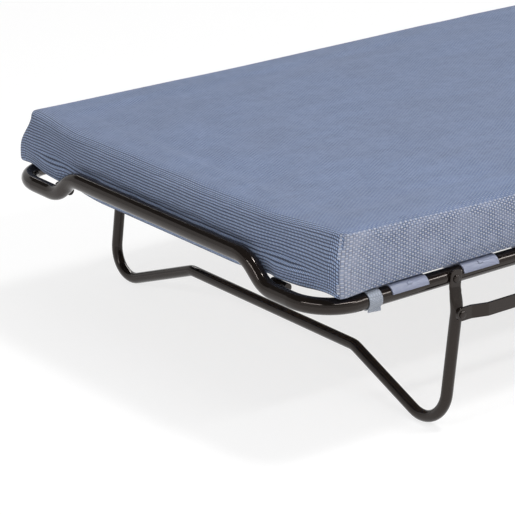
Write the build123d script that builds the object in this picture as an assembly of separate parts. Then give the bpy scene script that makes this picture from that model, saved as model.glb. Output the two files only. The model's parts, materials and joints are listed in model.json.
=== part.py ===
from build123d import *
import os
from math import cos, radians, sin, tan

# Whole bed, in millimetres. +X is the right side, -Y the head end, +Z up, the origin on the floor.
bed_length = 1900.0
frame_width = 800.0
rail_height = 228.5

# Frame tube of each half
rail_diameter = 25.0
corner_radius = 66.0
hump_rise = 36.0
hump_inset = 181.5
hump_slope = 40.0
hump_bend_radius = 50.0

# Hinges between the halves and the centre section
hinge_spacing = 300.0
rail_tail = 18.0
hinge_bolt_diameter = 10.0
bolt_head_height = 4.0
bolt_head_width = 17.0
nut_height = 6.0
running_gap = 0.05
slack_gap = 0.3

# End legs
leg_diameter = 18.0
leg_setback = 237.5
leg_lean = 6.5
leg_side_gap = 2.0
leg_plate_width = 22.0
leg_plate_thickness = 3.2
leg_plate_length = 13.5
leg_plate_rise = 14.0
leg_plate_corner = 6.0
leg_neck_length = 20.0
foot_bend_radius = 48.0
foot_slope = 21.0
leg_bar_rise = 58.0
leg_bar_bend_radius = 36.0
rivet_diameter = 8.0
rivet_head_diameter = 11.5
rivet_head_height = 2.5

# Brace links
link_drop = 48.0
link_width = 20.0
link_thickness = 4.0
link_jog = 8.0
link_jog_start = 18.0
link_jog_length = 26.0
link_plate_jog_start = 66.0
link_plate_jog_length = 40.0

# Side plates and rails of the centre section
plate_thickness = 4.0
plate_end_margin = 22.0
plate_rise = 15.0
plate_drop = 64.0
plate_web_top_drop = 2.5
plate_web_bottom_drop = 40.0
plate_boss_length = 55.0
plate_web_slope_run = 14.0
plate_corner_radius = 12.0
rail_end_gap = 8.0

# Castor legs and castors
castor_leg_diameter = 22.0
castor_leg_spacing = 170.0
castor_leg_bottom = 68.0
cross_bar_diameter = 18.0
cross_bar_height = 112.0
stem_diameter = 8.0
stem_length = 24.0
stem_end_gap = 2.0
castor_trail = 17.0
wheel_diameter = 50.0
wheel_width = 18.0
wheel_side_gap = 1.5
wheel_crown_gap = 3.0
axle_diameter = 6.0
fork_cheek_thickness = 3.5
fork_crown_length = 32.0
fork_boss_length = 16.0
fork_top_gap = 1.0

# Slats and their holders
slat_width = 60.0
slat_thickness = 8.0
slat_bow = 6.0
slat_end_gap = 6.0
first_slat_setback = 153.0
last_slat_hinge_gap = 88.5
centre_slat_spacing = 136.5
slats_per_half = 5
holder_length = 68.0
holder_wall = 2.2
holder_skirt_angle = 12.0
holder_inner_angle = 150.0
holder_pocket_depth = 26.0
holder_slot_gap = 0.25
peg_length = 9.0
peg_width = 6.0
peg_height = 1.6
peg_angle = 52.0
peg_taper = 20.0

# Straps and lugs
strap_width = 24.0
strap_thickness = 1.3
strap_setback = 88.0
strap_tail_length = 6.0
strap_tail_width = 21.0
lug_diameter = 14.0
lug_length = 34.0
lug_side_inset = 112.0
lug_rise = 3.0

# Mattress
mattress_side_inset = 10.0
mattress_thickness = 83.5
mattress_crown = 7.0
mattress_crown_inset = 150.0
mattress_end_setback = 36.0
mattress_end_bulge = 22.0
mattress_end_slant = 110.0
mattress_end_radius = 144.0
mattress_corner_radius = 16.0
mattress_edge_radius = 9.0
mattress_side_pull = 4.0
mattress_bend_reach = 100.0
mattress_split_gap = 0.3

# Derived sizes
rail_radius = rail_diameter / 2
rail_x = frame_width / 2 - rail_radius
end_y = bed_length / 2 - rail_radius
hinge_y = hinge_spacing / 2
hump_top_x = frame_width / 2 - hump_inset
lug_end_x = frame_width / 2 - lug_side_inset
leg_radius = leg_diameter / 2
leg_inner_x = frame_width / 2 + leg_side_gap
leg_x = leg_inner_x + leg_radius
leg_plate_x = frame_width / 2 + slack_gap
leg_pivot_y = end_y - leg_setback
leg_drop = (rail_height - leg_radius) / cos(radians(leg_lean))
link_lean_y = link_drop * sin(radians(leg_lean))
link_drop_z = link_drop * cos(radians(leg_lean))
link_y = leg_pivot_y + link_lean_y
link_z = rail_height - link_drop_z
link_inner_x = leg_inner_x + leg_diameter + slack_gap
link_outer_x = link_inner_x + link_jog
plate_x = frame_width / 2 + slack_gap
plate_outer_x = plate_x + plate_thickness
link_plate_x = plate_outer_x + bolt_head_height + slack_gap
link_pin_y = hinge_y + link_lean_y
centre_rail_x = plate_x - rail_radius
castor_leg_y = castor_leg_spacing / 2
mattress_bottom = rail_height + rail_radius + running_gap + holder_wall + slack_gap
slat_top = mattress_bottom - slack_gap
slat_end_x = rail_x - rail_radius - slat_end_gap
slat_run = end_y - first_slat_setback - hinge_y - last_slat_hinge_gap
slat_pitch = slat_run / (slats_per_half - 1)
mattress_half_width = frame_width / 2 - mattress_side_inset
overrun = rail_diameter


def bent_tube(points, radii, diameter):
    """A round tube with closed ends, swept along straight runs joined by bends."""
    path = FilletPolyline(*points, radius=radii)
    start = Plane(origin=path @ 0, z_dir=path % 0)
    return sweep(start * Circle(diameter / 2), path=path)


def rod_x(x_from, x_to, y, z, diameter):
    """A round rod or drill along X."""
    place = Plane(origin=(x_from, y, z), z_dir=(1, 0, 0))
    return extrude(place * Circle(diameter / 2), x_to - x_from)


def rod_y(x, y_from, y_to, z, diameter):
    """A round rod or drill along Y."""
    place = Plane(origin=(x, y_from, z), z_dir=(0, 1, 0))
    return extrude(place * Circle(diameter / 2), y_to - y_from)


def rod_z(x, y, z_from, z_to, diameter):
    """A round rod or drill along Z."""
    place = Plane(origin=(x, y, z_from), z_dir=(0, 0, 1))
    return extrude(place * Circle(diameter / 2), z_to - z_from)


def mirrored(shape):
    """The same piece on the left side."""
    return mirror(shape, about=Plane.YZ)


def turned(shape):
    """The same piece on the foot half, which is the head half turned round."""
    return Rot(0, 0, 180) * shape


def group(shapes):
    """Several separate solids in one node."""
    return Compound(children=[solid for shape in shapes for solid in shape.solids()])


def both_sides(shape):
    return group([shape, mirrored(shape)])


# Half frame

def frame_tube():
    foot_x = hump_top_x + hump_rise / tan(radians(hump_slope))
    low = rail_height
    high = rail_height + hump_rise
    right = [
        (rail_x, rail_tail - hinge_y, low),
        (rail_x, -end_y, low),
        (foot_x, -end_y, low),
        (hump_top_x, -end_y, high),
    ]
    left = [(-x, y, z) for x, y, z in reversed(right)]
    bends = [corner_radius, hump_bend_radius, hump_bend_radius]
    tube = bent_tube(right + left, bends + bends[::-1], rail_diameter)
    hole = hinge_bolt_diameter + 2 * running_gap
    return tube - rod_x(-frame_width, frame_width, -hinge_y, rail_height, hole)


def lug():
    """A short round peg welded behind each foot of the hump."""
    y = -end_y + rail_radius + lug_diameter / 2 + running_gap
    return rod_x(lug_end_x - lug_length, lug_end_x, y, rail_height + lug_rise, lug_diameter)


def leg_stud():
    """Headed stud on the rail that the leg turns on."""
    y = -leg_pivot_y
    head_x = leg_plate_x + leg_plate_thickness + slack_gap
    shank = rod_x(rail_x, head_x, y, rail_height, rivet_diameter)
    shank -= rod_y(rail_x, y - overrun, y + overrun, rail_height, rail_diameter)
    return shank + rod_x(head_x, head_x + rivet_head_height, y, rail_height, rivet_head_diameter)


# Leg and links

def lean_about_pivot(shape):
    """Takes a leg drawn upright about its pivot to its leaning place."""
    return Pos(0, -leg_pivot_y, rail_height) * (Rot(-leg_lean, 0, 0) * shape)


def leg_top():
    """Flat paddle that the tube's end is pressed into, and the wedge that it leaves empty."""
    neck_end = leg_plate_length + leg_neck_length
    flat_x = leg_plate_x + leg_plate_thickness
    outer_x = leg_x + leg_radius
    inner_face = Plane(origin=(leg_plate_x, 0, 0), x_dir=(0, 1, 0), z_dir=(1, 0, 0))
    tongue = Pos(0, -leg_plate_length / 2) * Rectangle(leg_plate_width, leg_plate_length)
    end_height = leg_plate_rise + leg_plate_length
    end = RectangleRounded(leg_plate_width, end_height, leg_plate_corner)
    end = Pos(0, leg_plate_rise - end_height / 2) * end
    paddle = extrude(inner_face * (end + tongue), leg_plate_thickness)
    wedge = [
        (flat_x, -leg_plate_length),
        (outer_x + running_gap, -neck_end),
        (outer_x + overrun, -neck_end),
        (outer_x + overrun, overrun),
        (flat_x - overrun, overrun),
        (flat_x - overrun, -leg_plate_length),
    ]
    side = Plane(origin=(0, overrun, 0), x_dir=(1, 0, 0), z_dir=(0, -1, 0))
    return paddle, extrude(side * make_face(Polyline(*wedge, close=True)), 2 * overrun)


def leg_tube():
    low = leg_drop
    half_turn = radians(90 + foot_slope) / 2
    corner_w = low - foot_bend_radius + foot_bend_radius * tan(half_turn)
    bar_w = low - leg_bar_rise
    bar_x = leg_x - (corner_w - bar_w) / tan(radians(foot_slope))
    right = [(leg_x, 0, 0), (leg_x, 0, -corner_w), (bar_x, 0, -bar_w)]
    left = [(-x, y, z) for x, y, z in reversed(right)]
    bends = [foot_bend_radius, leg_bar_bend_radius]
    paddle, wedge = leg_top()
    leg = bent_tube(right + left, bends + bends[::-1], leg_diameter) - wedge - mirrored(wedge)
    leg = leg + paddle + mirrored(paddle)
    leg -= rod_x(-frame_width, frame_width, 0, 0, rivet_diameter + 2 * running_gap)
    return lean_about_pivot(leg)


def link_stud():
    """Headed stud on the leg that the link turns on."""
    head_x = link_inner_x + link_thickness + slack_gap
    shank = rod_x(leg_x, head_x, 0, -link_drop, rivet_diameter)
    shank -= rod_z(leg_x, 0, -link_drop - overrun, -link_drop + overrun, leg_diameter)
    head = rod_x(head_x, head_x + rivet_head_height, 0, -link_drop, rivet_head_diameter)
    return lean_about_pivot(shank + head)


def link_bar():
    """Flat bar with rounded ends, set outward beside the leg and inward at the side plate."""
    end = link_width / 2
    jog_from = link_jog_start - link_y
    jog_to = jog_from + link_jog_length
    back_to = -link_pin_y - link_plate_jog_start
    back_from = back_to - link_plate_jog_length
    inner = [
        (link_inner_x, -link_y - end),
        (link_inner_x, jog_from),
        (link_outer_x, jog_to),
        (link_outer_x, back_from),
        (link_plate_x, back_to),
        (link_plate_x, -link_pin_y + end),
    ]
    outer = [(x + link_thickness, y) for x, y in reversed(inner)]
    bottom = Plane(origin=(0, 0, link_z - link_width / 2))
    bar = extrude(bottom * make_face(Polyline(*inner, *outer, close=True)), link_width)
    ends = bar.edges().filter_by(Axis.X).group_by(Axis.Y)
    bar = fillet(ends[0] + ends[-1], link_width / 2 - running_gap)
    hole = rivet_diameter + 2 * running_gap
    bar -= rod_x(0, frame_width, -link_y, link_z, hole)
    return bar - rod_x(0, frame_width, -link_pin_y, link_z, hole)


# Centre section

def centre_rail():
    half = hinge_y - rail_tail - rail_end_gap
    return rod_y(centre_rail_x, -half, half, rail_height, rail_diameter)


def side_plate():
    """Pressed side plate with a boss at each hinge and a web between them."""
    outer_y = hinge_y + plate_end_margin
    boss_y = outer_y - plate_boss_length
    top = rail_height + plate_rise
    bottom = rail_height - plate_drop
    web_top = rail_height - plate_web_top_drop
    web_bottom = rail_height - plate_web_bottom_drop
    slope_top_y = boss_y - plate_web_slope_run
    outline = [
        (outer_y, bottom),
        (outer_y, top),
        (boss_y, top),
        (slope_top_y, web_top),
        (-slope_top_y, web_top),
        (-boss_y, top),
        (-outer_y, top),
        (-outer_y, bottom),
        (-boss_y, bottom),
        (-slope_top_y, web_bottom),
        (slope_top_y, web_bottom),
        (boss_y, bottom),
    ]
    inner_face = Plane(origin=(plate_x, 0, 0), x_dir=(0, 1, 0), z_dir=(1, 0, 0))
    plate = extrude(inner_face * make_face(Polyline(*outline, close=True)), plate_thickness)
    corners = plate.edges().filter_by(Axis.X).group_by(Axis.Y)
    plate = fillet(corners[0] + corners[-1], plate_corner_radius)
    for side in (-1, 1):
        plate -= rod_x(0, frame_width, side * hinge_y, rail_height, hinge_bolt_diameter)
    return plate


def hexagon_x(x_from, x_to, y, z, width):
    """Hexagonal bolt head or nut along X, measured across its flats."""
    place = Plane(origin=(x_from, y, z), z_dir=(1, 0, 0))
    return extrude(place * RegularPolygon(width / 2, 6, major_radius=False), x_to - x_from)


def hinge_bolt():
    """Bolt and nut that each half turns on."""
    nut_x = rail_x - rail_radius - slack_gap
    shank = rod_x(nut_x, plate_outer_x, -hinge_y, rail_height, hinge_bolt_diameter)
    head_end = plate_outer_x + bolt_head_height
    head = hexagon_x(plate_outer_x, head_end, -hinge_y, rail_height, bolt_head_width)
    return shank + head + hexagon_x(nut_x - nut_height, nut_x, -hinge_y, rail_height, bolt_head_width)


def link_pin():
    """Headed pin welded to the side plate, on which the link turns."""
    head_x = link_plate_x + link_thickness + slack_gap
    shank = rod_x(plate_outer_x, head_x, -link_pin_y, link_z, rivet_diameter)
    return shank + rod_x(head_x, head_x + rivet_head_height, -link_pin_y, link_z, rivet_head_diameter)


def castor_leg():
    """Short upright coped to the centre rail, with a bore for the castor's stem."""
    leg = rod_z(centre_rail_x, -castor_leg_y, castor_leg_bottom, rail_height, castor_leg_diameter)
    leg -= rod_y(centre_rail_x, -castor_leg_y - overrun, overrun - castor_leg_y, rail_height, rail_diameter)
    bore_top = castor_leg_bottom + stem_length + stem_end_gap
    bore = stem_diameter + 2 * running_gap
    return leg - rod_z(centre_rail_x, -castor_leg_y, castor_leg_bottom, bore_top, bore)


def cross_bar():
    """Tube between the two uprights of one side, coped to both."""
    bar = rod_x(-centre_rail_x, centre_rail_x, -castor_leg_y, cross_bar_height, cross_bar_diameter)
    for x in (-centre_rail_x, centre_rail_x):
        bar -= rod_z(x, -castor_leg_y, castor_leg_bottom, rail_height, castor_leg_diameter)
    return bar


def castor_fork(x, y):
    """Trailing fork with its stem and axle riveted in."""
    slot = wheel_width + 2 * wheel_side_gap
    width = slot + 2 * fork_cheek_thickness
    axle_y = y - castor_trail
    axle_z = wheel_diameter / 2
    crown_top = castor_leg_bottom - fork_top_gap
    crown_bottom = wheel_diameter + wheel_crown_gap
    crown = fork_crown_length / 2
    boss = fork_boss_length / 2
    outline = [
        (y + crown, crown_top),
        (y + crown, crown_bottom),
        (axle_y + boss, axle_z - boss / 2),
        (axle_y + boss / 2, axle_z - boss),
        (axle_y - boss / 2, axle_z - boss),
        (axle_y - boss, axle_z - boss / 2),
        (axle_y - boss, axle_z + boss),
        (y - crown, crown_bottom),
        (y - crown, crown_top),
    ]
    side = Plane(origin=(x - width / 2, 0, 0), x_dir=(0, 1, 0), z_dir=(1, 0, 0))
    fork = extrude(side * make_face(Polyline(*outline, close=True)), width)
    fork -= Pos(x, axle_y, crown_bottom / 2) * Box(slot, overrun + fork_crown_length * 2, crown_bottom)
    fork += rod_z(x, y, crown_top, castor_leg_bottom + stem_length, stem_diameter)
    return fork + rod_x(x - width / 2, x + width / 2, axle_y, axle_z, axle_diameter)


def castor_wheel(x, y):
    half = wheel_width / 2
    wheel = rod_x(x - half, x + half, y - castor_trail, wheel_diameter / 2, wheel_diameter)
    bore = axle_diameter + 2 * running_gap
    return wheel - rod_x(x - half, x + half, y - castor_trail, wheel_diameter / 2, bore)


# Slats and holders

def slat(y):
    """Sprung slat, bowed up in the middle."""
    end_top = slat_top - slat_bow
    upper = ThreePointArc((-slat_end_x, end_top), (0, slat_top), (slat_end_x, end_top))
    lower = ThreePointArc(
        (slat_end_x, end_top - slat_thickness),
        (0, slat_top - slat_thickness),
        (-slat_end_x, end_top - slat_thickness),
    )
    ends = [Line(upper @ 1, lower @ 0), Line(lower @ 1, upper @ 0)]
    edge = Plane(origin=(0, y + slat_width / 2, 0), x_dir=(1, 0, 0), z_dir=(0, -1, 0))
    return extrude(edge * make_face(Curve() + [upper, lower, *ends]), slat_width)


def saddle_section(inner, outer):
    """Section of the holder's saddle, from its outer skirt over the rail to the pocket side."""
    middle_angle = (holder_skirt_angle + holder_inner_angle) / 2
    corners = []
    for radius in (outer, inner):
        for angle in (holder_skirt_angle, middle_angle, holder_inner_angle):
            corners.append((radius * cos(radians(angle)), radius * sin(radians(angle))))
    arcs = [ThreePointArc(*corners[:3]), ThreePointArc(*corners[3:])]
    return make_face(Curve() + arcs + [Line(corners[2], corners[5]), Line(corners[3], corners[0])])


def slat_holder(x, y):
    """Saddle over the rail at x, with a pocket for the slat's end."""
    inner = rail_radius + running_gap
    outer = inner + holder_wall
    slat_bottom = slat_top - slat_bow - slat_thickness - rail_height
    slot_height = slat_thickness + slat_bow / 4 + 2 * holder_slot_gap
    slot_bottom = slat_bottom - holder_slot_gap
    pocket_x = -rail_radius - slat_end_gap - holder_pocket_depth
    box_height = slot_height + 2 * holder_wall
    box = Pos((pocket_x - inner) / 2, slot_bottom - holder_wall + box_height / 2) * Rectangle(
        -inner - pocket_x, box_height
    )
    section = saddle_section(inner, outer) + (box - Circle(inner))
    end = Plane(origin=(x, y + holder_length / 2, rail_height), x_dir=(1, 0, 0), z_dir=(0, -1, 0))
    holder = extrude(end * section, holder_length)
    slot_from = x + pocket_x - overrun
    slot_to = slat_end_x + holder_slot_gap
    slot_z = rail_height + slot_bottom + slot_height / 2
    slot = Box(slot_to - slot_from, slat_width + 2 * holder_slot_gap, slot_height)
    return (holder - Pos((slot_from + slot_to) / 2, y, slot_z) * slot) + holder_peg(x, y, outer)


def holder_peg(x, y, outer):
    """Small snap peg in the middle of the saddle."""
    angle = radians(peg_angle)
    out = (cos(angle), 0, sin(angle))
    base = outer - holder_wall / 2
    origin = (x + base * out[0], y, rail_height + base * out[2])
    place = Plane(origin=origin, x_dir=(0, 1, 0), z_dir=out)
    return extrude(place * Rectangle(peg_length, peg_width), peg_height + holder_wall / 2, taper=peg_taper)


def holders(x, rows):
    one_side = [slat_holder(x, y) for y in rows]
    return group(one_side + [mirrored(holder) for holder in one_side])


# Straps

def strap():
    """Fabric loop round the rail with a short stitched tail below."""
    y = -end_y + strap_setback
    inner = rail_radius + running_gap
    outer = inner + strap_thickness
    loop = rod_y(rail_x, y - strap_width / 2, y + strap_width / 2, rail_height, 2 * outer)
    tail_height = strap_tail_length + outer
    tail = Box(2 * strap_thickness, strap_tail_width, tail_height)
    loop += Pos(rail_x, y, rail_height - tail_height / 2) * tail
    return loop - rod_y(rail_x, y - strap_width / 2, y + strap_width / 2, rail_height, 2 * inner)


# Mattress

def mattress_levels():
    """Height above the mattress bottom and inset of each outline, from bottom to crown."""
    edge = mattress_edge_radius
    height = mattress_thickness
    return [
        (0, edge / 2),
        (edge / 2, 0),
        (height / 2, mattress_side_pull),
        (height - edge, 0),
        (height, edge),
        (height + mattress_crown, mattress_crown_inset),
    ]


def end_outline(inset, split_y):
    """Plan of the head part: straight sides, rounded corners and an end that bulges to the hump."""
    half = mattress_half_width - inset
    corner_y = -end_y + mattress_end_setback + inset
    flat_y = corner_y - mattress_end_bulge
    flat_x = half - mattress_end_slant
    right = [(half, split_y), (half, corner_y), (flat_x, flat_y)]
    left = [(-x, y) for x, y in reversed(right)]
    radii = [mattress_corner_radius, mattress_end_radius]
    edge = FilletPolyline(*right, *left, radius=radii + radii[::-1])
    return make_face(Curve() + [*edge.edges(), Line(left[-1], right[0])])


def mattress_part(outline):
    levels = [Plane(origin=(0, 0, mattress_bottom + rise)) * outline(inset) for rise, inset in mattress_levels()]
    return loft(levels, ruled=True)


def mattress_head():
    split_y = -hinge_y - mattress_bend_reach - mattress_split_gap
    return mattress_part(lambda inset: end_outline(inset, split_y))


def mattress_middle():
    length = hinge_spacing + 2 * mattress_bend_reach
    return mattress_part(lambda inset: Rectangle(2 * (mattress_half_width - inset), length))


def build_head_half():
    rows = [-end_y + first_slat_setback + slat_pitch * i for i in range(slats_per_half)]
    nodes = {
        "frame_tube": frame_tube(),
        "lugs": both_sides(lug()),
        "leg_studs": both_sides(leg_stud()),
        "slat_holders": holders(rail_x, rows),
        "straps": both_sides(strap()),
        "mattress": mattress_head(),
        "leg": leg_tube(),
        "link_studs": both_sides(link_stud()),
        "link_right": link_bar(),
        "link_left": mirrored(link_bar()),
    }
    for i, y in enumerate(rows, start=1):
        nodes[f"slat_{i}"] = slat(y)
    return nodes


def build_centre():
    rows = [-centre_slat_spacing / 2, centre_slat_spacing / 2]
    leg_side = both_sides(castor_leg())
    bolt_side = both_sides(hinge_bolt())
    pin_side = both_sides(link_pin())
    nodes = {
        "centre_rail_right": centre_rail(),
        "centre_rail_left": mirrored(centre_rail()),
        "side_plate_right": side_plate(),
        "side_plate_left": mirrored(side_plate()),
        "hinge_bolts": group([bolt_side, turned(bolt_side)]),
        "link_pins": group([pin_side, turned(pin_side)]),
        "castor_legs": group([leg_side, turned(leg_side)]),
        "cross_bar_head": cross_bar(),
        "cross_bar_foot": turned(cross_bar()),
        "centre_slat_holders": holders(centre_rail_x, rows),
        "mattress_middle": mattress_middle(),
    }
    for i, y in enumerate(rows, start=1):
        nodes[f"centre_slat_{i}"] = slat(y)
    places = [(x, y) for x in (-centre_rail_x, centre_rail_x) for y in (-castor_leg_y, castor_leg_y)]
    for i, (x, y) in enumerate(places, start=1):
        nodes[f"castor_{i}_fork"] = castor_fork(x, y)
        nodes[f"castor_{i}_wheel"] = castor_wheel(x, y)
    return nodes


def build_bed():
    nodes = build_centre()
    swap = {"link_right": "link_left", "link_left": "link_right"}
    for name, shape in build_head_half().items():
        nodes[f"head_{name}"] = shape
        nodes[f"foot_{swap.get(name, name)}"] = turned(shape)
    return nodes


def main():
    os.makedirs("parts", exist_ok=True)
    for name, shape in build_bed().items():
        export_step(shape, f"parts/{name}.step")


main()
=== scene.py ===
"""Dresses the folding guest bed: mattress, straps, holders, legs, rivets, finishes and a plain studio."""

import json
import math

import bmesh
import bpy
from bpy.props import FloatProperty, FloatVectorProperty, PointerProperty
from mathutils import Matrix, Vector


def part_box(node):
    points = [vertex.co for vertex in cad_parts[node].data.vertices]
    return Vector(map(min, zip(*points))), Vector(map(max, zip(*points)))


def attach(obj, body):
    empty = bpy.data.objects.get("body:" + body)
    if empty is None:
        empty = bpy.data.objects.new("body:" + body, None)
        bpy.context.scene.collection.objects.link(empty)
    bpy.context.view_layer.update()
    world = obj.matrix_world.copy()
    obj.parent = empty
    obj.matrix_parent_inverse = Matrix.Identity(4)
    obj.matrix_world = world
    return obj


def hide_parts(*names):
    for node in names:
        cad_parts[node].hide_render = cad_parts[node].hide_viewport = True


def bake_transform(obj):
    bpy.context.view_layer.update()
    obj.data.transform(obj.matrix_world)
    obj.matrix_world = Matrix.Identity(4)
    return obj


bl_info = {
    "name": "Folding Guest Bed",
    "version": (1, 0, 0),
    "blender": (4, 5, 0),
    "location": "View3D > Sidebar > Guest Bed",
    "description": "Builds the soft parts, legs, holders, rivets, finishes and studio of a folding guest bed",
    "category": "Object",
}

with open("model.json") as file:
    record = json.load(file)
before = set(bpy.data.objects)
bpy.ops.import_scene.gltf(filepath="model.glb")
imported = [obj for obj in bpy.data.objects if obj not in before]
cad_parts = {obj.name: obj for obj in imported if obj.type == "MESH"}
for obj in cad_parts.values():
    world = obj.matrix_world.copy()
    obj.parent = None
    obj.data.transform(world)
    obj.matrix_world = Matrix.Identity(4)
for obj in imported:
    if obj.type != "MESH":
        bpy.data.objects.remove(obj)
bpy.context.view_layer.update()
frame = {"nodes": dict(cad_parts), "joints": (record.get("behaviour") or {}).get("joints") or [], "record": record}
NODES = frame["nodes"]
JOINTS = {joint["name"]: joint for joint in frame["joints"]}

HEAD_LOW, HEAD_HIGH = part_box("head_mattress")
STRAP_LOW, STRAP_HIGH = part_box("head_straps")
TUBE_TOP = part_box("head_frame_tube")[1].z
LEG_PIVOT = Vector((0.0, *JOINTS["head_leg_turn"]["pos_m"][1:]))
HALF_TURN = Matrix.Rotation(math.pi, 4, "Z")
MIRROR_X = Matrix.Scale(-1.0, 4, (1.0, 0.0, 0.0))

# Distances under which places count as the same: on a plane, of doubled points, and of points beside a cut
NEAR = 1e-4
MERGE = 1e-5
CUT_MERGE = 3e-4


# Settings that a user would change


class StageSettings(bpy.types.PropertyGroup):
    camera_place: FloatVectorProperty(
        name="Camera place", description="Where the camera stands", subtype="TRANSLATION",
        unit="LENGTH", default=(2.92493, -3.06672, 1.54164),
    )
    camera_azimuth: FloatProperty(
        name="Camera azimuth", description="Turn of the view about the vertical", subtype="ANGLE",
        default=math.radians(51.548),
    )
    camera_elevation: FloatProperty(
        name="Camera elevation", description="How far the camera looks down", subtype="ANGLE",
        default=math.radians(20.385),
    )
    lens: FloatProperty(
        name="Lens", description="Focal length of the camera", subtype="DISTANCE_CAMERA", default=179.7,
    )
    key_power: FloatProperty(
        name="Key light", description="Power of the lamp high above the bed", subtype="POWER", default=190.0,
    )
    side_power: FloatProperty(
        name="Side light", description="Power of the long lamp beside the bed", subtype="POWER", default=62.0,
    )
    end_power: FloatProperty(
        name="End light", description="Power of the long lamp beyond the end of the bed", subtype="POWER",
        default=36.0,
    )
    sky_level: FloatProperty(
        name="Sky level", description="Strength of the even light from all round", default=0.40, min=0.0,
    )
    wall_level: FloatProperty(
        name="Wall level", description="Strength of the walls that glossy surfaces mirror",
        default=0.68, min=0.0,
    )
    ceiling_level: FloatProperty(
        name="Ceiling level", description="Strength of the ceiling that glossy surfaces mirror",
        default=0.06, min=0.0,
    )
    rim_level: FloatProperty(
        name="Rim level", description="Strength of the thin bright line on top of the mirrored walls",
        default=14.0, min=0.0,
    )
    floor_colour: FloatVectorProperty(
        name="Floor colour", description="Colour of the studio floor", subtype="COLOR",
        default=(0.96, 0.96, 0.96), min=0.0, max=1.0,
    )


class CoverSettings(bpy.types.PropertyGroup):
    pale_yarn: FloatVectorProperty(
        name="Pale yarn", description="Colour of the pale yarn of the cover", subtype="COLOR",
        default=(0.46, 0.475, 0.54), min=0.0, max=1.0,
    )
    blue_yarn: FloatVectorProperty(
        name="Blue yarn", description="Colour of the blue yarn of the cover", subtype="COLOR",
        default=(0.186, 0.236, 0.372), min=0.0, max=1.0,
    )
    top_tone: FloatVectorProperty(
        name="Top tone", description="Colour of the cover's smooth top, where both yarns blend",
        subtype="COLOR", default=(0.142, 0.2, 0.34), min=0.0, max=1.0,
    )
    rib_tone: FloatVectorProperty(
        name="Rib tone", description="Colour of the raised ribs at the ends of the cover", subtype="COLOR",
        default=(0.315, 0.412, 0.63), min=0.0, max=1.0,
    )
    rib_gap: FloatVectorProperty(
        name="Rib gap", description="Colour of the shade between the ribs", subtype="COLOR",
        default=(0.056, 0.068, 0.106), min=0.0, max=1.0,
    )
    column: FloatProperty(
        name="Column spacing", description="Distance between the columns of the weave", subtype="DISTANCE",
        unit="LENGTH", default=0.00483, precision=5,
    )
    row: FloatProperty(
        name="Row spacing", description="Distance between the rows of the weave", subtype="DISTANCE",
        unit="LENGTH", default=0.00278, precision=5,
    )
    cell: FloatProperty(
        name="Cloth cell", description="Size of the faces that the cloth is worked out on",
        subtype="DISTANCE", unit="LENGTH", default=0.010, precision=4,
    )
    swell: FloatProperty(
        name="Swell", description="Farthest that the stuffed cover may move", subtype="DISTANCE",
        unit="LENGTH", default=0.004, precision=4,
    )
    bend_reach: FloatProperty(
        name="Bend reach", description="Length of mattress that bends each side of a hinge",
        subtype="DISTANCE", unit="LENGTH", default=0.08,
    )


class FinishSettings(bpy.types.PropertyGroup):
    paint: FloatVectorProperty(
        name="Frame paint", description="Colour of the gloss paint on the tubes", subtype="COLOR",
        default=(0.008, 0.006, 0.005), min=0.0, max=1.0,
    )
    zinc: FloatVectorProperty(
        name="Zinc", description="Colour of the plated bolts and pins", subtype="COLOR",
        default=(0.58, 0.58, 0.56), min=0.0, max=1.0,
    )
    holder: FloatVectorProperty(
        name="Holder plastic", description="Colour of the slat holders", subtype="COLOR",
        default=(0.215, 0.235, 0.32), min=0.0, max=1.0,
    )
    strap: FloatVectorProperty(
        name="Strap", description="Colour of the fabric straps", subtype="COLOR",
        default=(0.30, 0.33, 0.39), min=0.0, max=1.0,
    )
    wood: FloatVectorProperty(
        name="Wood", description="Colour of the slats", subtype="COLOR",
        default=(0.62, 0.43, 0.25), min=0.0, max=1.0,
    )
    wheel: FloatVectorProperty(
        name="Wheel", description="Colour of the castor wheels", subtype="COLOR",
        default=(0.025, 0.025, 0.027), min=0.0, max=1.0,
    )


class GuestBedSettings(bpy.types.PropertyGroup):
    stage: PointerProperty(type=StageSettings, name="Stage", description="Camera, lamps and floor")
    cover: PointerProperty(type=CoverSettings, name="Cover", description="The mattress and its cover")
    finish: PointerProperty(type=FinishSettings, name="Finishes", description="Colours of the hard parts")


# Node trees


class Nodes:
    """Short ways to add nodes to a tree."""

    def __init__(self, tree):
        self.tree = tree

    def put(self, socket, value):
        """Links a socket to another one, or sets it to a number, a colour or a vector."""
        if isinstance(value, bpy.types.NodeSocket):
            self.tree.links.new(value, socket)
        elif isinstance(value, (int, float)):
            socket.default_value = value
        else:
            value = tuple(value)
            socket.default_value = value if len(value) == len(socket.default_value) else (*value, 1.0)

    def node(self, kind, inputs=(), **settings):
        node = self.tree.nodes.new(kind)
        for key, value in settings.items():
            setattr(node, key, value)
        for key, value in dict(inputs).items():
            self.put(node.inputs[key], value)
        return node

    def math(self, operation, *values):
        return self.node("ShaderNodeMath", enumerate(values), operation=operation).outputs[0]

    def vector_math(self, operation, *values):
        node = self.node("ShaderNodeVectorMath", enumerate(values), operation=operation)
        return node.outputs["Vector"]

    def axes(self, vector):
        """The three parts of a vector."""
        return self.node("ShaderNodeSeparateXYZ", {"Vector": vector}).outputs

    def span(self, value, low, high, to_low=0.0, to_high=1.0, interpolation="SMOOTHSTEP"):
        """A value between two ends, taken to a new pair of ends."""
        inputs = {"Value": value, "From Min": low, "From Max": high, "To Min": to_low, "To Max": to_high}
        return self.node("ShaderNodeMapRange", inputs, interpolation_type=interpolation).outputs["Result"]


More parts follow.
